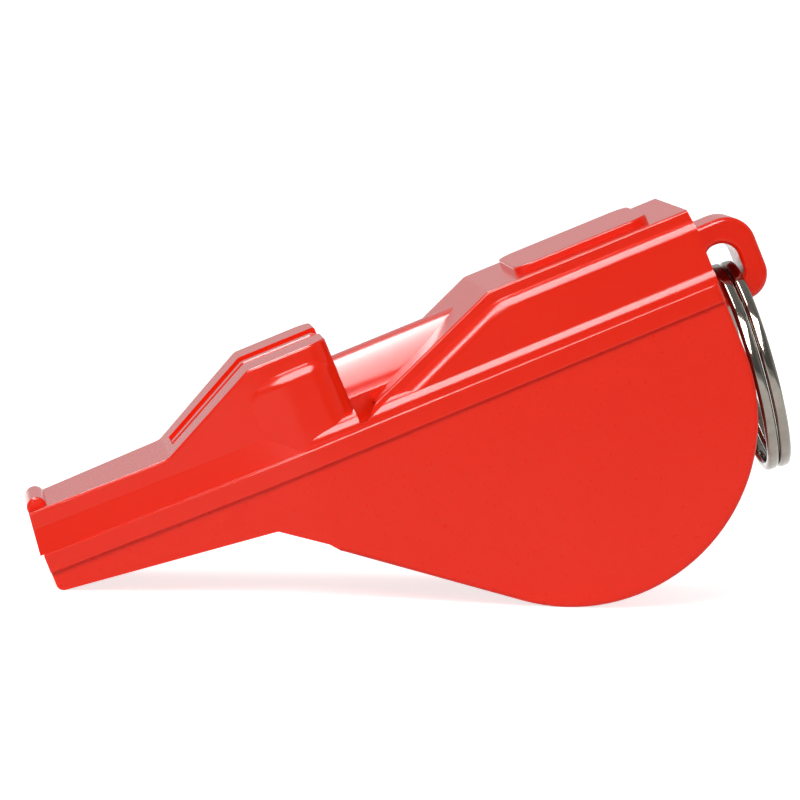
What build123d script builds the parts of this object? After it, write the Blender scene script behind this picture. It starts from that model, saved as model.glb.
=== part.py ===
"""Three-chamber pealess sports whistle, at rest on the lip of its mouthpiece and on its bulb.

The body is three mouldings stacked along the blowing axis and a split ring in the lanyard eye.
Local directions: x runs back along the blowing axis from the lip, y runs across the width and
z rises from the lower weld line. The axis is tilted so that lip and bulb touch the floor together.
"""

import os
from math import asin, atan2, cos, degrees, hypot, pi, radians, sin, sqrt, tan

from build123d import *

# Stations along the blowing axis
body_length = 57.0
hump_foot = 11.75
hump_crest = 20.1
hump_deck = 6.6
window_length = 1.9

# Heights above the lower weld line
divider_thickness = 1.6
mouth_top = 5.0
hump_top = 9.2
block_top = 7.75
labium_height = 3.1
labium_edge = 0.15
notch_floor = 2.0

# Steps across the width, each on one side
body_width = 20.0
skirt_inset = 0.25
cheek_inset = 0.3
crown_inset = 0.45
bulb_inset = 0.4
hump_ledge = 0.85
block_ledge = 0.5
skirt_height = 1.55

# Plan of the mouthpiece
taper_length = 20.0
lip_inset = 3.0
crown_lip_inset = 2.6
crown_lead = 0.1
skirt_taper_length = 23.25
skirt_lip_inset = 4.65
cheek_lag = 1.8
cheek_lip_inset = 4.95
flank_lean = 0.42
flank_run = 4.5
taper_blend = 40.0
cheek_blend = 6.0
rear_corner = 0.5
hump_corner = 1.5
cheek_setback = 0.15
lip_rake = 0.4
layer_step = 0.25
brow_drop = 0.85

# Rounding of the outline
crown_round = 0.2
cheek_round = 1.4
skirt_round = 1.3
hump_round = 0.7
foot_round = 1.2
block_round = 0.9
rear_rake = 0.15
rear_fall = 1.6
ledge_bend = 6.0
bulb_round = 0.35
divider_round = 0.15
lip_round = 0.6

# Walls and fits
wall = 1.3
fit_clearance = 0.1
overrun = 1.0

# Arched ridge between the sound windows
ridge_top = 6.8
ridge_half = 5.5
ridge_rise = 3.1
ridge_wall = 1.1
ramp_angle = 22.4

# Grip groove up the hump, with a rounded rail along its middle
groove_half = 3.2
groove_depth = 0.55
rail_half = 0.9
rail_drop = 0.1
rail_round = 0.35

# Bare plate on the rear block
plate_setback = 2.9
plate_length = 11.4
plate_half = 6.4
plate_height = 0.6
plate_corner = 1.5
plate_round = 0.15

# Tooth bead across the lip
bead_radius = 0.8
bead_setback = 0.75
bead_half = 4.3
bead_round = 0.2

# Upper windways and the hollow behind them
windway_height = 1.5
windway_gap = 0.6
windway_mouth = 4.1
windway_exit = 2.0
core_half = 2.2
core_start = 14.5

# Web and ribs of the divider
web_thickness = 1.2
rib_thickness = 0.8
rib_height = 0.8

# Lower shell
bulb_radius = 14.64
bulb_drop = 4.39
lip_depth = 1.6
lip_lead = 0.12
crook_lead = 24.79
crook_depth = 3.46
kink_run = 3.33
kink_fall = 2.44
kink_step_run = 0.7
kink_step_fall = 0.85
lower_windway_height = 0.9
lower_windway_half = 4.4
window_half = 5.6
lower_labium_thickness = 0.45

# Lanyard eye
eye_reach = 4.9
eye_top = 5.5
eye_bottom = 1.45
eye_half = 2.8
eye_back_wall = 0.45
eye_end_wall = 1.75
eye_top_wall = 1.9
eye_bottom_wall = 1.55
eye_top_round = 2.4
eye_bottom_round = 2.1
eye_hole_round = 1.0
eye_arch_round = 1.4
eye_edge_round = 0.4

# Split ring
ring_diameter = 16.4
ring_wire = 0.8
ring_turn_gap = 0.42
ring_clearance = 0.12
ring_rest_gap = 0.06
ring_cross_half_angle = 12.0
gap_samples = 720
gap_skip_share = 0.25

# Half widths of the layers
divider_half = body_width / 2
skirt_half = divider_half - skirt_inset
cheek_half = skirt_half - cheek_inset
crown_half = cheek_half - crown_inset
bulb_half = divider_half - bulb_inset
chamber_half = cheek_half - wall
bulb_chamber_half = bulb_half - wall

# Outline of the upper shell
ramp_slope = tan(radians(ramp_angle))
hump_slope = (hump_top - mouth_top) / (hump_crest - hump_foot)
hump_angle = atan2(hump_top - mouth_top, hump_crest - hump_foot)
hump_end = hump_crest + hump_deck
labium_x = hump_end + window_length
block_front = labium_x + (block_top - labium_height) / ramp_slope
plate_middle = body_length - plate_setback - plate_length / 2
cheek_taper_length = hump_crest + cheek_lag
crown_taper_length = hump_crest - crown_lead
flank_end = crown_taper_length + flank_run

# Outline of the lower shell
bulb_x = body_length - bulb_radius
bulb_z = -bulb_drop
crook_x = bulb_x - crook_lead
kink_x = crook_x + kink_run
kink_z = -crook_depth - kink_fall
bulb_front_x = kink_x + kink_step_run
bulb_front_z = kink_z - kink_step_fall
lower_lip_x = -lip_lead
floor_slope = (crook_depth - lip_depth) / (crook_x - lower_lip_x)

# Lanyard eye and the place where the ring turns in it
eye_start = body_length + fit_clearance
eye_end = body_length + eye_reach
hole_start = eye_start + eye_back_wall
hole_end = eye_end - eye_end_wall
hole_bottom = eye_bottom_wall - eye_bottom
hole_top = eye_top - eye_top_wall
ring_radius = ring_diameter / 2
wire_radius = ring_wire / 2
ring_pitch = ring_wire + ring_turn_gap
half_stack = ring_pitch / 2 + wire_radius
wire_sag = ring_radius - sqrt(ring_radius**2 - eye_half**2)
turning_room = hypot(ring_pitch / 2, wire_sag) + wire_radius + ring_clearance
pivot_x = hole_end - turning_room
pivot_z = hole_bottom + turning_room

# The ring leans on the bulb
lean_reach = hypot(pivot_x - bulb_x, pivot_z - bulb_z)
lean_bearing = atan2(bulb_z - pivot_z, bulb_x - pivot_x) + 2 * pi
ring_bearing = lean_bearing + asin((bulb_radius + half_stack + ring_rest_gap) / lean_reach)

# Rest: the floor touches the rounded lip and the bulb
lip_centre_x = lower_lip_x + lip_round
lip_centre_z = -lip_depth - floor_slope * lip_round + lip_round * sqrt(1 + floor_slope**2)
lip_to_bulb = hypot(bulb_x - lip_centre_x, bulb_z - lip_centre_z)
tilt = asin((bulb_radius - lip_round) / lip_to_bulb) - atan2(bulb_z - lip_centre_z, bulb_x - lip_centre_x)
along = Vector(cos(tilt), 0, sin(tilt))
across = Vector(0, 1, 0)
rising = Vector(-sin(tilt), 0, cos(tilt))

# Origin on the floor, half way between the foremost and rearmost points
ring_foot_x = pivot_x + ring_diameter * cos(ring_bearing)
ring_foot_z = pivot_z + ring_diameter * sin(ring_bearing)
ring_normal_x = -sin(ring_bearing + tilt)
ring_rear = ring_foot_x * cos(tilt) - ring_foot_z * sin(tilt)
rear_reach = ring_rear + abs(ring_normal_x) * ring_pitch / 2 + wire_radius
front_reach = min(0, bead_setback * cos(tilt) - bead_radius) - mouth_top * sin(tilt)
origin_x = -(rear_reach + front_reach) / 2
origin_z = bulb_radius - bulb_x * sin(tilt) - bulb_z * cos(tilt)
origin = Vector(origin_x, 0, origin_z)

side_plane = Plane(origin=origin, x_dir=along, z_dir=-across)
along_axis = Axis(origin, along)
rising_axis = Axis(origin, rising)


def placed(x, z):
    """A point of the middle plane, given along and above the blowing axis."""
    return origin + along * x + rising * z


def plan_plane(z):
    """Plane square to z at a height above the lower weld line."""
    return Plane(origin=placed(0, z), x_dir=along, z_dir=rising)


def section_plane(x):
    """Plane square to the blowing axis at a station along it."""
    return Plane(origin=placed(x, 0), x_dir=across, z_dir=along)


def tapered(half_width, x, inset=lip_inset, length=taper_length):
    """Half width of a layer at a station ahead of the end of its taper."""
    return half_width - inset * (length - x) / length


def plan_outline(
    half_width, front, corner, inset=lip_inset, length=taper_length, rear=body_length, blend=taper_blend
):
    """Plan of one layer: sides that taper towards the lip, rear corners rounded where one is given."""
    front_half = tapered(half_width, front, inset, length)
    with BuildSketch() as outline:
        Polygon(
            (front, front_half),
            (length, half_width),
            (rear, half_width),
            (rear, -half_width),
            (length, -half_width),
            (front, -front_half),
            align=None,
        )
        fillet(outline.vertices().group_by(Axis.X)[1], blend)
        if corner:
            fillet(outline.vertices().group_by(Axis.X)[-1], corner)
    return outline.sketch


def height_of(shape):
    """Height of a shape's middle above the lower weld line."""
    return (shape.center() - origin).dot(rising)


def long_edges(part, half_width, level):
    """Edges along the sides of the upward faces above a level, not those across the width."""
    upward = [face for face in part.faces() if face.normal_at().dot(rising) > sin(pi / 6)]
    raised = [face for face in upward if height_of(face) > level]
    return [edge for face in raised for edge in face.edges() if abs(edge.center().Y) > half_width / 2]


def hump_corners(half_width, radius, end):
    """Plan of what a rounded corner leaves off, on both sides of a rear end."""
    with BuildSketch() as corners:
        with Locations((end + fit_clearance, half_width), (end + fit_clearance, -half_width)):
            Rectangle(radius + fit_clearance, 2 * radius, align=(Align.MAX, Align.CENTER))
        with Locations((end - radius, half_width - radius), (end - radius, radius - half_width)):
            Circle(radius, mode=Mode.SUBTRACT)
    return corners.sketch


def bulb_edges(part):
    """Edges along both sides of the bulb, without its front and the lower weld line."""
    flank = [edge for edge in part.edges() if abs(edge.center().Y) > crown_half]
    behind = [edge for edge in flank if (edge.center() - origin).dot(along) > bulb_front_x + fit_clearance]
    return [edge for edge in behind if (edge.center() - origin).dot(rising) < -fit_clearance]


def tangent_point(x, z, centre_x, centre_z, radius):
    """Lower point where a line from (x, z) touches a circle."""
    reach = hypot(centre_x - x, centre_z - z)
    bearing = atan2(centre_z - z, centre_x - x) - asin(radius / reach)
    length = sqrt(reach**2 - radius**2)
    return x + length * cos(bearing), z + length * sin(bearing)


# Flanks: sides of the mouthpiece that lean out from the top edge to the weld line
with BuildPart() as flanks:
    for level, flank_half in (
        (divider_thickness, crown_half + flank_lean),
        (mouth_top - brow_drop, crown_half - fit_clearance),
    ):
        with BuildSketch(plan_plane(level)):
            add(
                plan_outline(
                    flank_half, -lip_rake - overrun, None, crown_lip_inset, crown_taper_length, flank_end
                )
            )
    loft(ruled=True)

# Cheeks: the middle step, which follows the outline of hump and block a little below it
cheek_end = hump_end - cheek_setback
cheek_shift = hump_ledge * tan(hump_angle / 2)
cheek_ramp_x = labium_x + block_ledge / sin(radians(ramp_angle))
cheek_block_x = cheek_ramp_x + (block_top - block_ledge - labium_height) / ramp_slope
cheek_foot_x = cheek_ramp_x - (labium_height + wall) / ramp_slope
notch_rear_x = cheek_ramp_x - (labium_height - notch_floor) / ramp_slope

# Skirt: the lowest step of the upper shell, with a full rounded shoulder and a nick below each window
nick_top = divider_thickness + skirt_height + overrun
with BuildPart() as skirt:
    with BuildSketch(plan_plane(divider_thickness)):
        add(plan_outline(skirt_half, -lip_rake, None, skirt_lip_inset, skirt_taper_length, body_length + overrun))
    extrude(amount=skirt_height)
    fillet(long_edges(skirt, skirt_half, divider_thickness), skirt_round)
    with BuildSketch(side_plane):
        Polygon(
            (hump_end, nick_top),
            (hump_end, notch_floor),
            (notch_rear_x, notch_floor),
            (notch_rear_x + (nick_top - notch_floor) / ramp_slope, nick_top),
            align=None,
        )
    extrude(amount=body_width, both=True, mode=Mode.SUBTRACT)

with BuildPart() as hump_cheeks:
    with BuildSketch(side_plane):
        Polygon(
            (-lip_rake, divider_thickness),
            (-lip_rake, mouth_top - hump_ledge),
            (hump_foot + cheek_shift, mouth_top - hump_ledge),
            (hump_crest + cheek_shift, hump_top - hump_ledge),
            (cheek_end, hump_top - hump_ledge),
            (cheek_end, divider_thickness),
            align=None,
        )
    extrude(amount=divider_half, both=True)
    with BuildSketch(plan_plane(0)):
        add(
            plan_outline(
                cheek_half, -lip_rake, None, cheek_lip_inset, cheek_taper_length, blend=cheek_blend
            )
        )
    extrude(amount=hump_top, mode=Mode.INTERSECT)
    with BuildSketch(plan_plane(0)):
        add(hump_corners(cheek_half, hump_corner + crown_inset, cheek_end))
    extrude(amount=hump_top, mode=Mode.SUBTRACT)
    fillet(long_edges(hump_cheeks, cheek_half, divider_thickness), cheek_round)

with BuildPart() as block_cheeks:
    with BuildSketch(side_plane):
        Polygon(
            (cheek_foot_x, -wall),
            (cheek_block_x, block_top - block_ledge),
            (body_length + overrun, block_top - block_ledge),
            (body_length + overrun, -wall),
            align=None,
        )
        fillet(vertices().filter_by_position(Axis.X, cheek_block_x, cheek_block_x), ledge_bend)
    extrude(amount=cheek_half, both=True)
    fillet(long_edges(block_cheeks, cheek_half, divider_thickness), cheek_round)
    with BuildSketch(plan_plane(divider_thickness)):
        with Locations((body_length, 0)):
            Rectangle(2 * body_length, 2 * body_width)
    extrude(amount=-wall - 2 * divider_thickness, mode=Mode.SUBTRACT)

# Bare plate on top of the rear block
with BuildPart() as label_plate:
    with BuildSketch(plan_plane(block_top)):
        with Locations((plate_middle, 0)):
            RectangleRounded(plate_length, 2 * plate_half, plate_corner)
    extrude(amount=plate_height)
    fillet(label_plate.faces().sort_by(rising_axis)[-1].edges(), plate_round)

# Rail along the middle of the grip groove
with BuildPart() as rail:
    with BuildSketch(side_plane):
        Polygon(
            (hump_foot + rail_drop / sin(hump_angle), mouth_top),
            (hump_crest + rail_drop * tan(hump_angle / 2), hump_top - rail_drop),
            (hump_end, hump_top - rail_drop),
            (hump_end, hump_top - wall),
            (hump_crest + wall * tan(hump_angle / 2), hump_top - wall),
            (hump_foot + wall / sin(hump_angle), mouth_top),
            align=None,
        )
        rail_crest = hump_crest + rail_drop * tan(hump_angle / 2)
        fillet(vertices().filter_by_position(Axis.X, rail_crest, rail_crest), hump_round)
        fillet(vertices().filter_by_position(Axis.X, hump_end, hump_end).sort_by(Axis.Y)[-1:], hump_round)
    extrude(amount=rail_half, both=True)
    fillet(long_edges(rail, rail_half, mouth_top), rail_round)

# Tooth bead across the top of the lip
with BuildPart() as bead:
    with BuildSketch(side_plane):
        with Locations((bead_setback, mouth_top)):
            Circle(bead_radius)
    extrude(amount=bead_half, both=True)
    fillet(bead.edges().filter_by(GeomType.CIRCLE), bead_round)

# Lanyard eye: a rounded loop behind the block, rooted in its rear wall
with BuildPart() as eye:
    with BuildSketch(side_plane):
        Polygon(
            (eye_start, -eye_bottom),
            (eye_end, -eye_bottom),
            (eye_end, eye_top),
            (eye_start, eye_top),
            align=None,
        )
        fillet(vertices().group_by(Axis.X)[-1].sort_by(Axis.Y)[-1:], eye_top_round)
        fillet(vertices().sort_by(Axis.Y)[:2].sort_by(Axis.X)[-1:], eye_bottom_round)
    extrude(amount=eye_half, both=True)
    with BuildSketch(side_plane):
        Polygon(
            (hole_start, hole_bottom),
            (hole_end, hole_bottom),
            (hole_end, hole_top),
            (hole_start, hole_top),
            align=None,
        )
        arch_corner = vertices().group_by(Axis.Y)[-1].sort_by(Axis.X)[-1]
        fillet(vertices() - [arch_corner], eye_hole_round)
        fillet(vertices().sort_by_distance((hole_end, hole_top))[:1], eye_arch_round)
    extrude(amount=eye_half + overrun, both=True, mode=Mode.SUBTRACT)
    rims = eye.faces().filter_by(Axis.Y).edges().sort_by(along_axis)[2:]
    fillet(rims, eye_edge_round)

# Upper shell
ridge_shoulder = ridge_top - ridge_rise
ridge_start = hump_end - wall
ridge_end = labium_x + (ridge_top - labium_height) / ramp_slope + wall / 2
labium_under = labium_height - labium_edge
lip_under_x = labium_x + (wall / cos(radians(ramp_angle)) - labium_edge) / ramp_slope
roof = block_top - wall
roof_x = lip_under_x + (roof - labium_under) / ramp_slope
arch_top = ridge_top - ridge_wall
arch_half = ridge_half - ridge_wall
arch_start = hump_end + wall
arch_end = lip_under_x + (arch_top - labium_under) / ramp_slope
chamber_end = body_length - wall
with BuildPart() as upper_shell:
    with BuildSketch(side_plane):
        Polygon(
            (-lip_rake, divider_thickness),
            (-lip_rake, mouth_top),
            (hump_foot, mouth_top),
            (hump_crest, hump_top),
            (hump_end, hump_top),
            (hump_end, notch_floor),
            (labium_x - (labium_height - notch_floor), notch_floor),
            (labium_x, labium_height),
            (block_front, block_top),
            (body_length, block_top),
            (body_length, divider_thickness),
            align=None,
        )
        fillet(vertices().filter_by_position(Axis.X, hump_foot, hump_foot), foot_round)
        fillet(vertices().filter_by_position(Axis.X, hump_crest, hump_crest), hump_round)
        fillet(vertices().filter_by_position(Axis.X, block_front, block_front), block_round)
    extrude(amount=divider_half, both=True)
    with BuildSketch(plan_plane(0)):
        add(plan_outline(crown_half, -lip_rake, None, crown_lip_inset, crown_taper_length))
    extrude(amount=hump_top, mode=Mode.INTERSECT)
    with BuildSketch(plan_plane(notch_floor)):
        add(hump_corners(crown_half, hump_corner, hump_end))
    extrude(amount=hump_top, mode=Mode.SUBTRACT)
    fillet(long_edges(upper_shell, crown_half, labium_height), crown_round)
    add(flanks.part)
    add(hump_cheeks.part)
    add(block_cheeks.part)
    add(skirt.part)
    # Rear face, raked at its top
    with BuildSketch(side_plane):
        Polygon(
            (body_length, divider_thickness),
            (body_length, block_top - rear_fall),
            (body_length - rear_rake, block_top),
            (body_length - rear_rake, block_top + overrun),
            (body_length + 2 * overrun, block_top + overrun),
            (body_length + 2 * overrun, divider_thickness),
            align=None,
        )
    extrude(amount=body_width, both=True, mode=Mode.SUBTRACT)
    add(label_plate.part)
    # Chamber under the block, open to the notch at the labium
    with BuildSketch(side_plane):
        Polygon(
            (hump_end, divider_thickness),
            (hump_end, labium_under),
            (lip_under_x, labium_under),
            (roof_x, roof),
            (chamber_end, roof),
            (chamber_end, divider_thickness),
            align=None,
        )
    extrude(amount=chamber_half, both=True, mode=Mode.SUBTRACT)
    # Arched ridge from the hump into the slope
    with BuildSketch(section_plane(ridge_start)):
        with BuildLine():
            ThreePointArc((ridge_half, ridge_shoulder), (0, ridge_top), (-ridge_half, ridge_shoulder))
            Polyline(
                (-ridge_half, ridge_shoulder),
                (-ridge_half, divider_thickness),
                (ridge_half, divider_thickness),
                (ridge_half, ridge_shoulder),
            )
        make_face()
    extrude(amount=ridge_end - ridge_start)
    # Raked front face of the mouthpiece
    with BuildSketch(side_plane):
        Polygon(
            (-lip_rake - 2 * overrun, divider_thickness),
            (-lip_rake, divider_thickness),
            (0, mouth_top),
            (0, mouth_top + overrun),
            (-lip_rake - 2 * overrun, mouth_top + overrun),
            align=None,
        )
    extrude(amount=body_width, both=True, mode=Mode.SUBTRACT)
    add(bead.part)
    # Grip groove up the hump and the rail in it
    with BuildSketch(side_plane):
        Polygon(
            (hump_foot + groove_depth / sin(hump_angle), mouth_top),
            (hump_crest + groove_depth * tan(hump_angle / 2), hump_top - groove_depth),
            (hump_end + overrun, hump_top - groove_depth),
            (hump_end + overrun, hump_top + overrun),
            (hump_crest, hump_top + overrun),
            (hump_foot, mouth_top + overrun),
            align=None,
        )
    extrude(amount=groove_half, both=True, mode=Mode.SUBTRACT)
    add(rail.part)
    # Hollow of the arched ridge, open to the chamber behind it
    with BuildSketch(section_plane(arch_start)):
        with BuildLine():
            ThreePointArc((arch_half, ridge_shoulder), (0, arch_top), (-arch_half, ridge_shoulder))
            Polyline(
                (-arch_half, ridge_shoulder),
                (-arch_half, divider_thickness),
                (arch_half, divider_thickness),
                (arch_half, ridge_shoulder),
            )
        make_face()
    extrude(amount=ridge_end + overrun - arch_start, mode=Mode.SUBTRACT)
    # Two windways that part towards the side windows
    with BuildSketch(plan_plane(divider_thickness)):
        Polygon(
            (-lip_rake - overrun, windway_gap),
            (-lip_rake - overrun, windway_gap + windway_mouth),
            (hump_end, chamber_half),
            (hump_end, chamber_half - windway_exit),
            align=None,
        )
        mirror(about=Plane.XZ)
    extrude(amount=windway_height, mode=Mode.SUBTRACT)
    # Hollow under the hump, between the windways
    with BuildSketch(side_plane):
        Polygon(
            (core_start, divider_thickness),
            (core_start, mouth_top + (core_start - hump_foot) * hump_slope - wall / cos(hump_angle)),
            (hump_crest + wall * tan(hump_angle / 2), hump_top - wall),
            (hump_end - wall, hump_top - wall),
            (hump_end - wall, divider_thickness),
            align=None,
        )
    extrude(amount=core_half, both=True, mode=Mode.SUBTRACT)
    # Eye and its root in the rear wall
    add(eye.part)
    with BuildSketch(side_plane):
        Polygon(
            (chamber_end, divider_thickness),
            (eye_start, divider_thickness),
            (hole_start, divider_thickness + fit_clearance),
            (hole_start, eye_top - eye_edge_round),
            (chamber_end, eye_top - eye_edge_round),
            align=None,
        )
    extrude(amount=eye_half - eye_edge_round, both=True)

# Centre divider: flat plate, chamber web and locating ribs
web_room = fit_clearance
with BuildPart() as centre_divider:
    with BuildSketch(plan_plane(0)):
        add(plan_outline(divider_half, layer_step - lip_rake, rear_corner))
    extrude(amount=divider_thickness)
    plate_edges = centre_divider.faces().sort_by(rising_axis)
    fillet(plate_edges[0].edges() + plate_edges[-1].edges(), divider_round)
    with BuildSketch(side_plane):
        Polygon(
            (arch_start + web_room, divider_thickness),
            (arch_start + web_room, arch_top - web_room),
            (arch_end, arch_top - web_room),
            (roof_x, roof - web_room),
            (chamber_end - web_room, roof - web_room),
            (chamber_end - web_room, divider_thickness),
            align=None,
        )
    extrude(amount=web_thickness / 2, both=True)
    for level, height, half, start in (
        (divider_thickness, rib_height, chamber_half, lip_under_x),
        (0, -rib_height, bulb_chamber_half, bulb_front_x + wall),
    ):
        rib_end = chamber_end - fit_clearance - rear_corner
        with BuildSketch(plan_plane(level)):
            rib_y = half - fit_clearance - rib_thickness / 2
            with Locations(((start + rib_end) / 2, rib_y), ((start + rib_end) / 2, -rib_y)):
                Rectangle(rib_end - start, rib_thickness)
        extrude(amount=height)

# Lower shell: mouthpiece floor, bottom window and bulb
touch_x, touch_z = tangent_point(bulb_front_x, bulb_front_z, bulb_x, bulb_z, bulb_radius)
front_bearing = atan2(touch_z - bulb_front_z, touch_x - bulb_front_x)
inset_x = -wall * sin(front_bearing)
inset_z = wall * cos(front_bearing)
inner_radius = bulb_radius - wall
mid_bearing = (front_bearing - pi / 2) / 2
with BuildPart() as bulb:
    with BuildSketch(side_plane):
        with BuildLine():
            Polyline(
                (body_length, bulb_z),
                (body_length, 0),
                (bulb_front_x, 0),
                (bulb_front_x, bulb_front_z),
                (touch_x, touch_z),
            )
            ThreePointArc(
                (touch_x, touch_z),
                (bulb_x + bulb_radius * cos(mid_bearing), bulb_z + bulb_radius * sin(mid_bearing)),
                (body_length, bulb_z),
            )
        make_face()
    extrude(amount=bulb_half, both=True)
    fillet(bulb_edges(bulb), bulb_round)

with BuildPart() as lower_shell:
    with BuildSketch(side_plane):
        Polygon(
            (bulb_front_x, 0),
            (lower_lip_x, 0),
            (lower_lip_x, -lip_depth),
            (crook_x, -crook_depth),
            (kink_x, kink_z),
            (bulb_front_x, bulb_front_z),
            align=None,
        )
        lip_vertices = vertices().filter_by_position(Axis.X, lower_lip_x, lower_lip_x)
        fillet(lip_vertices.sort_by(Axis.Y)[:1], lip_round)
    extrude(amount=divider_half, both=True)
    with BuildSketch(plan_plane(0)):
        add(plan_outline(bulb_half, lower_lip_x, None))
    extrude(amount=-(bulb_drop + bulb_radius + overrun), mode=Mode.INTERSECT)
    add(bulb.part)
    # Bulb chamber
    with BuildSketch(side_plane):
        with BuildLine():
            Polyline(
                (body_length - wall, bulb_z),
                (body_length - wall, 0),
                (bulb_front_x + lower_labium_thickness, 0),
                (bulb_front_x + lower_labium_thickness, -lower_windway_height),
                (bulb_front_x + inset_x, bulb_front_z + inset_z),
                (touch_x + inset_x, touch_z + inset_z),
            )
            ThreePointArc(
                (touch_x + inset_x, touch_z + inset_z),
                (bulb_x + inner_radius * cos(mid_bearing), bulb_z + inner_radius * sin(mid_bearing)),
                (body_length - wall, bulb_z),
            )
        make_face()
    extrude(amount=bulb_chamber_half, both=True, mode=Mode.SUBTRACT)
    # Lower windway, then the window below its mouth
    with BuildSketch(plan_plane(0)):
        Polygon(
            (lower_lip_x - overrun, lower_windway_half),
            (bulb_front_x + lower_labium_thickness, window_half),
            (bulb_front_x + lower_labium_thickness, -window_half),
            (lower_lip_x - overrun, -lower_windway_half),
            align=None,
        )
    extrude(amount=-lower_windway_height, mode=Mode.SUBTRACT)
    with BuildSketch(plan_plane(0)):
        with Locations(((crook_x + bulb_front_x) / 2, 0)):
            Rectangle(bulb_front_x - crook_x, 2 * window_half)
    extrude(amount=-(crook_depth + kink_fall + kink_step_fall + overrun), mode=Mode.SUBTRACT)

# Split ring: two flat turns joined by a short crossing on the far side
ring_direction = along * cos(ring_bearing) + rising * sin(ring_bearing)
ring_normal = rising * cos(ring_bearing) - along * sin(ring_bearing)
ring_plane = Plane(
    origin=placed(pivot_x, pivot_z) + ring_direction * ring_radius, x_dir=across, z_dir=ring_normal
)
cross_angle = radians(ring_cross_half_angle)


def ring_point(angle, height):
    """Point on the wire's centre line, at an angle from the crossing."""
    return Vector(ring_radius * cos(angle), ring_radius * sin(angle), height)


def arc_middle(start, heading, end):
    """Middle of the arc that leaves start along heading and arrives at end."""
    chord = end - start
    half_turn = radians(chord.get_angle(heading))
    sideways = (heading - chord * (heading.dot(chord) / chord.length**2)).normalized()
    return (start + end) * (1 / 2) + sideways * (chord.length / 2 * tan(half_turn / 2))


lower_turn = -ring_pitch / 2
upper_turn = ring_pitch / 2
cross_in = ring_point(-cross_angle, lower_turn)
cross_out = ring_point(cross_angle, upper_turn)
cross_top = Vector(hypot(ring_radius, ring_pitch / 2), 0, 0)
cross_heading = Vector(sin(cross_angle), cos(cross_angle), 0)
cross_mid_in = arc_middle(cross_in, cross_heading, cross_top)
cross_mid_out = Vector(cross_mid_in.X, -cross_mid_in.Y, -cross_mid_in.Z)
turn_stations = (cross_angle, (cross_angle + pi) / 2, pi, (3 * pi - cross_angle) / 2, 2 * pi - cross_angle)
first_turn = [ring_point(angle, lower_turn) for angle in turn_stations]
second_turn = [ring_point(angle, upper_turn) for angle in turn_stations]
with BuildPart() as split_ring:
    with BuildLine(ring_plane) as wire:
        for start, middle, end in (
            (first_turn[0], first_turn[1], first_turn[2]),
            (first_turn[2], first_turn[3], first_turn[4]),
            (cross_in, cross_mid_in, cross_top),
            (cross_top, cross_mid_out, cross_out),
            (second_turn[0], second_turn[1], second_turn[2]),
            (second_turn[2], second_turn[3], second_turn[4]),
        ):
            ThreePointArc(tuple(start), tuple(middle), tuple(end))
    wire_line = wire.line
    with BuildSketch(Plane(origin=wire_line @ 0, z_dir=wire_line % 0)):
        Circle(wire_radius)
    sweep(path=wire_line)

# Least gap between the turns, measured on points along the wire
centres = [wire_line @ (index / gap_samples) for index in range(gap_samples + 1)]
skip = int(gap_samples * gap_skip_share)
least_gap = min(
    (centres[i] - centres[j]).length for i in range(len(centres)) for j in range(i + skip, len(centres))
) - ring_wire
print(f"least gap between the ring's turns {least_gap:.3f} mm")
print(f"tilt {degrees(tilt):.2f} degrees, ring leans to {degrees(ring_bearing + tilt):.2f} degrees")

os.makedirs("parts", exist_ok=True)
for piece, label in (
    (upper_shell, "upper_shell"),
    (centre_divider, "centre_divider"),
    (lower_shell, "lower_shell"),
    (split_ring, "split_ring"),
):
    piece.part.label = label
    export_step(piece.part, f"parts/{label}.step")
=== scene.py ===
"""Studio scene of a pealess sports whistle: glossy moulded shells and a plated split ring."""
import logging
import math
from dataclasses import dataclass
from enum import Enum

import bpy
from mathutils import Matrix, Vector


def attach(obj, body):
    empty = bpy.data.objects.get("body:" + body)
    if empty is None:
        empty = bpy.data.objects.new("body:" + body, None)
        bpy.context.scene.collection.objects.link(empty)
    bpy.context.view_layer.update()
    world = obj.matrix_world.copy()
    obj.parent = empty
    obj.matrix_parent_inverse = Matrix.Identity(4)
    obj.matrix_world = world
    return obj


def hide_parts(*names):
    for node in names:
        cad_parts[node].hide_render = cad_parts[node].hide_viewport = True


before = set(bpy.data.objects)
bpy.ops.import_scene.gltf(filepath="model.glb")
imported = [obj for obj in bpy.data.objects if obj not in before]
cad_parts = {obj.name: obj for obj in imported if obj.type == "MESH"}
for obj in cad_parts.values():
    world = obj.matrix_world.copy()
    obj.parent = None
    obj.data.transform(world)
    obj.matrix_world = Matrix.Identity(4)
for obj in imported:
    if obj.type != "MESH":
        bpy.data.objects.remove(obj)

log = logging.getLogger("whistle")

MILLIMETRE: float = 0.001
TILT: float = math.radians(24.069697)
AXIS_ORIGIN: Vector = Vector((-28.453, 0.0, 1.372)) * MILLIMETRE
ALONG: Vector = Vector((math.cos(TILT), 0.0, math.sin(TILT)))
ACROSS: Vector = Vector((0.0, 1.0, 0.0))
RISING: Vector = Vector((-math.sin(TILT), 0.0, math.cos(TILT)))
UPWARD: Vector = Vector((0.0, 0.0, 1.0))
WHITE: tuple[float, float, float, float] = (1.0, 1.0, 1.0, 1.0)
UNIT_RANGE: tuple[float, float] = (0.0, 1.0)
FULL_TURN: float = 2.0 * math.pi


class Gloss(Enum):
    """Least and greatest roughness of a moulding, polished or lightly textured."""

    POLISHED = (0.15, 0.19)
    SATIN = (0.26, 0.30)


class Body(Enum):
    """Rigid bodies of the whistle."""

    WHISTLE = "whistle"
    RING = "ring"


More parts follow.
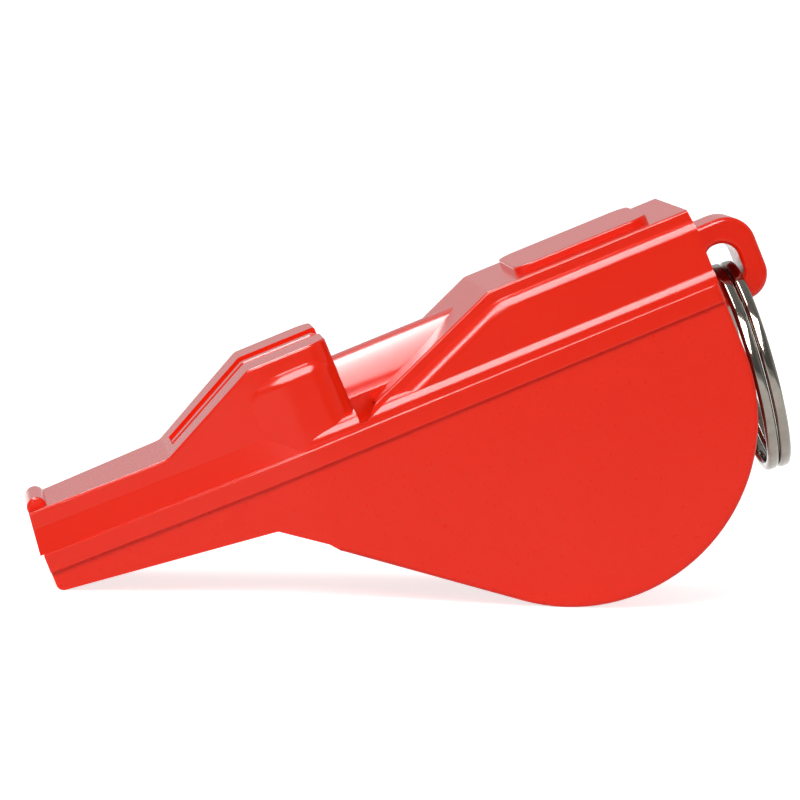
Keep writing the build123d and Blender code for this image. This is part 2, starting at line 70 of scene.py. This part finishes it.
def on_whistle(x: float, y: float, z: float) -> Vector:
    """Turn a place on the whistle into the part's frame.

    Args:
        x: Distance behind the lip along the blowing axis, in millimetres.
        y: Distance from the middle plane, in millimetres.
        z: Height above the lower weld line, in millimetres.

    Returns:
        The point in metres.
    """
    return AXIS_ORIGIN + (ALONG * x + ACROSS * y + RISING * z) * MILLIMETRE


def axes_along(first: Vector, second: Vector, third: Vector) -> Matrix:
    """Matrix that lays x, y and z along three directions at right angles."""
    return Matrix((first, second, third)).transposed()


class Sheet:
    """A node tree with short calls to add and join its nodes."""

    def __init__(self, tree: bpy.types.NodeTree) -> None:
        """Keep the tree that the calls work on."""
        self.tree = tree

    def add(self, kind: str, **settings: object) -> bpy.types.Node:
        """Add a node.

        Args:
            kind: Blender's name of the node type.
            **settings: Properties of the node to set.

        Returns:
            The new node.
        """
        node = self.tree.nodes.new(kind)
        for name, value in settings.items():
            setattr(node, name, value)
        return node

    def join(self, source: bpy.types.NodeSocket, target: bpy.types.NodeSocket) -> None:
        """Link an output to an input."""
        self.tree.links.new(source, target)

    def math(self, operation: str, *values: object) -> bpy.types.NodeSocket:
        """Add a Math node.

        Args:
            operation: Its operation.
            *values: Numbers, or sockets to link, for its inputs.

        Returns:
            Its output socket.
        """
        node = self.add("ShaderNodeMath", operation=operation)
        for socket, value in zip(node.inputs, values):
            if isinstance(value, bpy.types.NodeSocket):
                self.join(value, socket)
            else:
                socket.default_value = value
        return node.outputs[0]

    def noise(self, place: bpy.types.NodeSocket, scale: float, detail: float) -> bpy.types.NodeSocket:
        """Add a noise pattern.

        Args:
            place: Coordinates that it follows.
            scale: Its scale, in cells to the metre.
            detail: How many finer layers it has.

        Returns:
            Its value, from 0 to 1.
        """
        node = self.add("ShaderNodeTexNoise")
        node.inputs["Scale"].default_value = scale
        node.inputs["Detail"].default_value = detail
        self.join(place, node.inputs["Vector"])
        return node.outputs["Fac"]

    def blend(
        self, share: bpy.types.NodeSocket, first: tuple[float, ...], second: tuple[float, ...]
    ) -> bpy.types.NodeSocket:
        """Add a mix of two colours.

        Args:
            share: How much of the second colour shows, from 0 to 1.
            first: The first colour.
            second: The second colour.

        Returns:
            The mixed colour.
        """
        node = self.add("ShaderNodeMix", data_type="RGBA")
        node.inputs["A"].default_value = first
        node.inputs["B"].default_value = second
        self.join(share, node.inputs["Factor"])
        return node.outputs["Result"]

    def remap(
        self, value: bpy.types.NodeSocket, source: tuple[float, float], target: tuple[float, float]
    ) -> bpy.types.NodeSocket:
        """Add a change of range, held at both ends.

        Args:
            value: The value to change.
            source: Range that it comes in.
            target: Range that it goes to.

        Returns:
            The changed value.
        """
        node = self.add("ShaderNodeMapRange")
        node.inputs["From Min"].default_value, node.inputs["From Max"].default_value = source
        node.inputs["To Min"].default_value, node.inputs["To Max"].default_value = target
        self.join(value, node.inputs["Value"])
        return node.outputs["Result"]


def open_material(name: str) -> tuple[bpy.types.Material, Sheet, bpy.types.Node]:
    """Start a material.

    Args:
        name: Its name.

    Returns:
        The material, its node tree and its shader.
    """
    made = bpy.data.materials.new(name)
    made.use_nodes = True
    return made, Sheet(made.node_tree), made.node_tree.nodes["Principled BSDF"]


@dataclass(frozen=True)
class MouldedPlastic:
    """Orange-red moulded plastic with faint flow marks and a soft tool grain, its depth in millimetres."""

    name: str
    colour: tuple[float, float, float, float]
    deep_colour: tuple[float, float, float, float]
    gloss: Gloss
    flow_scale: float = 70.0
    flow_detail: float = 3.0
    grain_scale: float = 2600.0
    grain_detail: float = 2.0
    grain_strength: float = 0.01
    grain_depth: float = 0.02
    refraction: float = 1.33

    def material(self) -> bpy.types.Material:
        """Build the shader.

        Returns:
            The finished material.
        """
        made, sheet, shader = open_material(self.name)
        place = sheet.add("ShaderNodeTexCoord")
        turned = sheet.add("ShaderNodeMapping")
        turned.inputs["Rotation"].default_value = (0.0, TILT, 0.0)
        sheet.join(place.outputs["Object"], turned.inputs["Vector"])
        flow = sheet.noise(turned.outputs["Vector"], self.flow_scale, self.flow_detail)
        grain = sheet.noise(turned.outputs["Vector"], self.grain_scale, self.grain_detail)
        sheet.join(sheet.blend(flow, self.colour, self.deep_colour), shader.inputs["Base Color"])
        sheet.join(sheet.remap(grain, UNIT_RANGE, self.gloss.value), shader.inputs["Roughness"])
        bump = sheet.add("ShaderNodeBump")
        bump.inputs["Strength"].default_value = self.grain_strength
        bump.inputs["Distance"].default_value = self.grain_depth * MILLIMETRE
        sheet.join(grain, bump.inputs["Height"])
        sheet.join(bump.outputs["Normal"], shader.inputs["Normal"])
        shader.inputs["IOR"].default_value = self.refraction
        return made


@dataclass(frozen=True)
class PlatedWire:
    """Nickel plate on drawn wire, with faint rubbed marks."""

    name: str = "nickel_plate"
    colour: tuple[float, float, float, float] = (0.30, 0.28, 0.245, 1.0)
    dull_colour: tuple[float, float, float, float] = (0.17, 0.155, 0.13, 1.0)
    mark_scale: float = 900.0
    mark_detail: float = 4.0
    roughness: tuple[float, float] = (0.05, 0.14)

    def material(self) -> bpy.types.Material:
        """Build the shader.

        Returns:
            The finished material.
        """
        made, sheet, shader = open_material(self.name)
        place = sheet.add("ShaderNodeTexCoord")
        marks = sheet.noise(place.outputs["Object"], self.mark_scale, self.mark_detail)
        sheet.join(sheet.blend(marks, self.colour, self.dull_colour), shader.inputs["Base Color"])
        sheet.join(sheet.remap(marks, UNIT_RANGE, self.roughness), shader.inputs["Roughness"])
        shader.inputs["Metallic"].default_value = 1.0
        return made


class Recipe:
    """A Geometry Nodes tree with named inputs, grown once into a plain mesh."""

    def __init__(self, name: str, sizes: dict[str, float], material: bpy.types.Material) -> None:
        """Open an empty tree.

        Args:
            name: Name of the tree and of the piece that it grows.
            sizes: Value of each named input.
            material: Finish of the piece.
        """
        self.name = name
        self.sizes = sizes
        self.material = material
        self.tree = bpy.data.node_groups.new(name, "GeometryNodeTree")
        self.sheet = Sheet(self.tree)
        self.sockets = {}
        interface = self.tree.interface
        for size, value in sizes.items():
            kind = "NodeSocketInt" if isinstance(value, int) else "NodeSocketFloat"
            self.sockets[size] = interface.new_socket(size, in_out="INPUT", socket_type=kind)
        self.finish = interface.new_socket("Finish", in_out="INPUT", socket_type="NodeSocketMaterial")
        interface.new_socket("Geometry", in_out="OUTPUT", socket_type="NodeSocketGeometry")
        self.given = self.sheet.add("NodeGroupInput").outputs

    def close(self, geometry: bpy.types.NodeSocket) -> None:
        """End the tree in real geometry with its finish.

        Args:
            geometry: Output socket of the shape.
        """
        real = self.sheet.add("GeometryNodeRealizeInstances")
        self.sheet.join(geometry, real.inputs["Geometry"])
        dressed = self.sheet.add("GeometryNodeSetMaterial")
        self.sheet.join(real.outputs["Geometry"], dressed.inputs["Geometry"])
        self.sheet.join(self.given["Finish"], dressed.inputs["Material"])
        self.sheet.join(dressed.outputs["Geometry"], self.sheet.add("NodeGroupOutput").inputs["Geometry"])

    def grow(self, place: Matrix) -> bpy.types.Object:
        """Run the tree and keep its result as a plain mesh.

        Args:
            place: Where the shape's own axes lie in the part's frame.

        Returns:
            The piece, at the origin with its place in its mesh.
        """
        carrier = bpy.data.objects.new(self.name + "_carrier", bpy.data.meshes.new(self.name + "_carrier"))
        bpy.context.scene.collection.objects.link(carrier)
        growth = carrier.modifiers.new("growth", "NODES")
        growth.node_group = self.tree
        for size, socket in self.sockets.items():
            growth[socket.identifier] = self.sizes[size]
        growth[self.finish.identifier] = self.material
        ready = carrier.evaluated_get(bpy.context.evaluated_depsgraph_get())
        mesh = bpy.data.meshes.new_from_object(ready)
        carrier.modifiers.remove(growth)
        bpy.data.objects.remove(carrier)
        mesh.name = self.name
        mesh.transform(place)
        piece = bpy.data.objects.new(self.name, mesh)
        bpy.context.scene.collection.objects.link(piece)
        log.info("grew %s with %d faces", self.name, len(mesh.polygons))
        return piece


def placement(centre: Vector, first: Vector, third: Vector) -> Matrix:
    """Matrix that lays a shape's own x and z axes along two directions.

    Args:
        centre: Where its origin goes.
        first: Direction of its x axis.
        third: Direction of its z axis.

    Returns:
        The matrix.
    """
    return Matrix.Translation(centre) @ axes_along(first, third.cross(first), third).to_4x4()


@dataclass
class SplitRing:
    """Two closely wound turns of flattened plated wire, which hang in the lanyard eye.

    The sizes are in millimetres on the whistle's own axes, and the angles in degrees.
    """

    node: str = "split_ring"
    pivot_x: float = 58.8458
    pivot_z: float = 1.4042
    bearing: float = 263.3959
    radius: float = 8.2
    pitch: float = 1.0
    wire_height: float = 0.96
    wire_depth: float = 0.78
    wire_corner: float = 0.33
    cross_half_angle: float = 12.0
    steps: int = 480
    corner_steps: int = 6

    def recipe(self) -> Recipe:
        """Build the tree that winds the wire.

        Returns:
            The closed recipe.
        """
        sizes = {
            "Radius": self.radius * MILLIMETRE,
            "Pitch": self.pitch * MILLIMETRE,
            "Wire Height": self.wire_height * MILLIMETRE,
            "Wire Depth": self.wire_depth * MILLIMETRE,
            "Wire Corner": self.wire_corner * MILLIMETRE,
            "Crossing": math.radians(self.cross_half_angle),
            "Steps": self.steps,
        }
        recipe = Recipe("split_ring_wire", sizes, PlatedWire().material())
        sheet, given = recipe.sheet, recipe.given
        line = sheet.add("GeometryNodeCurvePrimitiveLine")
        path = sheet.add("GeometryNodeResampleCurve", mode="COUNT")
        sheet.join(line.outputs["Curve"], path.inputs["Curve"])
        sheet.join(given["Steps"], path.inputs["Count"])
        share = sheet.add("GeometryNodeSplineParameter").outputs["Factor"]
        # The wire makes two turns, less half a crossing at each end.
        sweep = sheet.math("MULTIPLY_ADD", given["Crossing"], -2.0, 2.0 * FULL_TURN)
        angle = sheet.math("MULTIPLY_ADD", share, sweep, given["Crossing"])
        rise = sheet.add("ShaderNodeMapRange", interpolation_type="SMOOTHSTEP")
        sheet.join(angle, rise.inputs["Value"])
        sheet.join(sheet.math("SUBTRACT", FULL_TURN, given["Crossing"]), rise.inputs["From Min"])
        sheet.join(sheet.math("ADD", FULL_TURN, given["Crossing"]), rise.inputs["From Max"])
        sheet.join(sheet.math("MULTIPLY", given["Pitch"], -0.5), rise.inputs["To Min"])
        sheet.join(sheet.math("MULTIPLY", given["Pitch"], 0.5), rise.inputs["To Max"])
        point = sheet.add("ShaderNodeCombineXYZ")
        sheet.join(sheet.math("MULTIPLY", given["Radius"], sheet.math("COSINE", angle)), point.inputs["X"])
        sheet.join(sheet.math("MULTIPLY", given["Radius"], sheet.math("SINE", angle)), point.inputs["Y"])
        sheet.join(rise.outputs["Result"], point.inputs["Z"])
        wound = sheet.add("GeometryNodeSetPosition")
        sheet.join(path.outputs["Curve"], wound.inputs["Geometry"])
        sheet.join(point.outputs["Vector"], wound.inputs["Position"])
        upright = sheet.add("GeometryNodeSetCurveNormal", mode="Z_UP")
        sheet.join(wound.outputs["Geometry"], upright.inputs["Curve"])
        section = sheet.add("GeometryNodeCurvePrimitiveQuadrilateral")
        sheet.join(given["Wire Depth"], section.inputs["Width"])
        sheet.join(given["Wire Height"], section.inputs["Height"])
        rounded = sheet.add("GeometryNodeFilletCurve", mode="POLY")
        rounded.inputs["Count"].default_value = self.corner_steps
        sheet.join(section.outputs["Curve"], rounded.inputs["Curve"])
        sheet.join(given["Wire Corner"], rounded.inputs["Radius"])
        tube = sheet.add("GeometryNodeCurveToMesh")
        tube.inputs["Fill Caps"].default_value = True
        sheet.join(upright.outputs["Curve"], tube.inputs["Curve"])
        sheet.join(rounded.outputs["Curve"], tube.inputs["Profile Curve"])
        smooth = sheet.add("GeometryNodeSetShadeSmooth")
        sheet.join(tube.outputs["Mesh"], smooth.inputs["Geometry"])
        recipe.close(smooth.outputs["Geometry"])
        return recipe

    def build(self) -> None:
        """Wind the ring and hang it in the eye."""
        turn = math.radians(self.bearing)
        down = ALONG * math.cos(turn) + RISING * math.sin(turn)
        normal = RISING * math.cos(turn) - ALONG * math.sin(turn)
        centre = on_whistle(self.pivot_x, 0.0, self.pivot_z) + down * self.radius * MILLIMETRE
        ring = self.recipe().grow(placement(centre, ACROSS, normal))
        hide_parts(self.node)
        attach(ring, Body.RING.value)


@dataclass
class Mouldings:
    """The three welded mouldings of the body, shown as the solids are."""

    upper: str = "upper_shell"
    divider: str = "centre_divider"
    lower: str = "lower_shell"
    colour: tuple[float, float, float, float] = (0.80, 0.0195, 0.0034, 1.0)
    deep_colour: tuple[float, float, float, float] = (0.77, 0.0155, 0.0024, 1.0)

    def dress(self) -> None:
        """Give each moulding its finish."""
        for node, gloss in (
            (self.upper, Gloss.POLISHED),
            (self.divider, Gloss.POLISHED),
            (self.lower, Gloss.SATIN),
        ):
            finish = MouldedPlastic(node + "_plastic", self.colour, self.deep_colour, gloss)
            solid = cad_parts[node]
            solid.data.materials.clear()
            solid.data.materials.append(finish.material())
            log.info("dressed %s in %s", node, finish.name)


@dataclass
class Studio:
    """Pale floor, soft lamps, surround and the camera.

    The floor and the lamps are in metres and watts. The camera is placed in millimetres and degrees on the
    whistle's own axes.
    """

    floor_half: float = 12.0
    floor_drop: float = 0.00002
    floor_glow: float = 0.76
    floor_pale: float = 0.8
    floor_dim: float = 0.5
    floor_roughness: float = 0.9
    pale_front: tuple[float, float] = (-0.16, -0.10)
    aim: tuple[float, float, float] = (30.21, -10.0, 2.45)
    backward: tuple[float, float, float] = (-0.050242, -0.991796, 0.117537)
    camera_distance: float = 400.0
    camera_lift: float = 0.157
    axis_slope: float = 22.0
    lens: float = 230.04
    sensor: float = 36.0
    clip: tuple[float, float] = (0.01, 100.0)
    key_direction: tuple[float, float, float] = (-0.222, -0.758, 0.613)
    lamp_distance: float = 0.6
    key_size: tuple[float, float] = (0.25, 0.3)
    key_power: float = 2.4
    strip_direction: tuple[float, float, float] = (-0.4007, 0.30, 0.866)
    strip_run: tuple[float, float, float] = (0.0, -1.0, 0.0)
    strip_size: tuple[float, float] = (0.12, 0.78)
    strip_power: float = 5.6
    sheen_size: tuple[float, float] = (0.3, 0.42)
    sheen_power: float = 11.0
    front_level: float = 0.2
    back_level: float = 0.58
    side_level: float = 0.35

    def floor(self) -> None:
        """Lay the pale floor, dimmer and without glow in front of the whistle."""
        half = self.floor_half
        mesh = bpy.data.meshes.new("floor")
        corners = [(-half, -half), (half, -half), (half, half), (-half, half)]
        mesh.from_pydata([(x, y, -self.floor_drop) for x, y in corners], [], [(0, 1, 2, 3)])
        floor = bpy.data.objects.new("floor", mesh)
        bpy.context.scene.collection.objects.link(floor)
        made, sheet, shader = open_material("pale_floor")
        shader.inputs["Roughness"].default_value = self.floor_roughness
        shader.inputs["Specular IOR Level"].default_value = 0.0
        rays = sheet.add("ShaderNodeLightPath")
        seen = sheet.math("ADD", rays.outputs["Is Camera Ray"], rays.outputs["Is Glossy Ray"])
        seen = sheet.math("ADD", seen, rays.outputs["Is Transmission Ray"])
        place = sheet.add("ShaderNodeTexCoord")
        parts = sheet.add("ShaderNodeSeparateXYZ")
        sheet.join(place.outputs["Object"], parts.inputs["Vector"])
        fade = sheet.remap(parts.outputs["Y"], self.pale_front, UNIT_RANGE)
        dim, pale = ((grey, grey, grey, 1.0) for grey in (self.floor_dim, self.floor_pale))
        sheet.join(sheet.blend(fade, dim, pale), shader.inputs["Base Color"])
        glow = sheet.math("MULTIPLY", seen, sheet.math("MULTIPLY", fade, self.floor_glow))
        shader.inputs["Emission Color"].default_value = WHITE
        sheet.join(glow, shader.inputs["Emission Strength"])
        mesh.materials.append(made)

    def surround(self) -> None:
        """Set the soft grey room around the whistle, dim in front and brighter at its sides and back."""
        world = bpy.data.worlds.new("surround")
        bpy.context.scene.world = world
        world.use_nodes = True
        sheet = Sheet(world.node_tree)
        background = world.node_tree.nodes["Background"]
        place = sheet.add("ShaderNodeTexCoord")
        parts = sheet.add("ShaderNodeSeparateXYZ")
        sheet.join(place.outputs["Generated"], parts.inputs["Vector"])
        depth = sheet.remap(parts.outputs["Y"], (-1.0, 1.0), (self.front_level, self.back_level))
        aside = sheet.math("MULTIPLY", parts.outputs["X"], parts.outputs["X"])
        level = sheet.math("MULTIPLY_ADD", aside, self.side_level, depth)
        sheet.join(level, background.inputs["Strength"])
        background.inputs["Color"].default_value = WHITE

    def lamp(
        self, name: str, towards: Vector, run: Vector, size: tuple[float, float], power: float
    ) -> bpy.types.Object:
        """Hang a soft rectangular lamp that faces the whistle.

        Args:
            name: Name of the lamp.
            towards: Direction from the whistle to the lamp.
            run: Direction that the height of its face follows.
            size: Width and height of its face, in metres.
            power: Its power in watts.

        Returns:
            The lamp.
        """
        light = bpy.data.lights.new(name, "AREA")
        light.shape = "RECTANGLE"
        light.size, light.size_y = size
        light.energy = power
        lamp = bpy.data.objects.new(name, light)
        facing = towards.normalized()
        upright = (run - facing * run.dot(facing)).normalized()
        lamp.location = on_whistle(*self.aim) + facing * self.lamp_distance
        lamp.rotation_mode = "QUATERNION"
        turned = axes_along(upright.cross(facing), upright, facing)
        lamp.rotation_quaternion = turned.to_quaternion()
        bpy.context.scene.collection.objects.link(lamp)
        return lamp

    def lamps(self) -> None:
        """Hang the key in front of the whistle, and a sheen and a strip that only its gloss picks up."""
        key, above = Vector(self.key_direction), Vector(self.strip_direction)
        self.lamp("key", key, UPWARD, self.key_size, self.key_power)
        sheen = self.lamp("sheen", key, UPWARD, self.sheen_size, self.sheen_power)
        strip = self.lamp("strip", above, Vector(self.strip_run), self.strip_size, self.strip_power)
        for lamp in (sheen, strip):
            lamp.visible_diffuse = False

    def camera(self) -> None:
        """Place the camera at the photograph's viewing angle."""
        data = bpy.data.cameras.new("camera")
        data.lens = self.lens
        data.sensor_width = self.sensor
        data.clip_start, data.clip_end = self.clip
        camera = bpy.data.objects.new("camera", data)
        x, y, z = self.backward
        backward = (ALONG * x + ACROSS * y + RISING * z).normalized()
        level = RISING.cross(backward).normalized()
        upright = backward.cross(level)
        slope = math.radians(self.axis_slope)
        sideways = level * math.cos(slope) - upright * math.sin(slope)
        upward = level * math.sin(slope) + upright * math.cos(slope)
        place = on_whistle(*self.aim) + upward * self.camera_lift * MILLIMETRE
        place += backward * self.camera_distance * MILLIMETRE
        camera.location = place
        camera.rotation_mode = "QUATERNION"
        camera.rotation_quaternion = axes_along(sideways, upward, backward).to_quaternion()
        bpy.context.scene.collection.objects.link(camera)
        bpy.context.scene.camera = camera

    def build(self) -> None:
        """Set up the whole studio."""
        bpy.context.scene.view_settings.view_transform = "Standard"
        self.floor()
        self.surround()
        self.lamps()
        self.camera()
        log.info("studio ready")


def main() -> None:
    """Dress the whistle and set up the studio."""
    logging.basicConfig(level=logging.INFO, format="%(name)s: %(message)s")
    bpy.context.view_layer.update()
    Mouldings().dress()
    SplitRing().build()
    Studio().build()


if __name__ == "__main__":
    main()
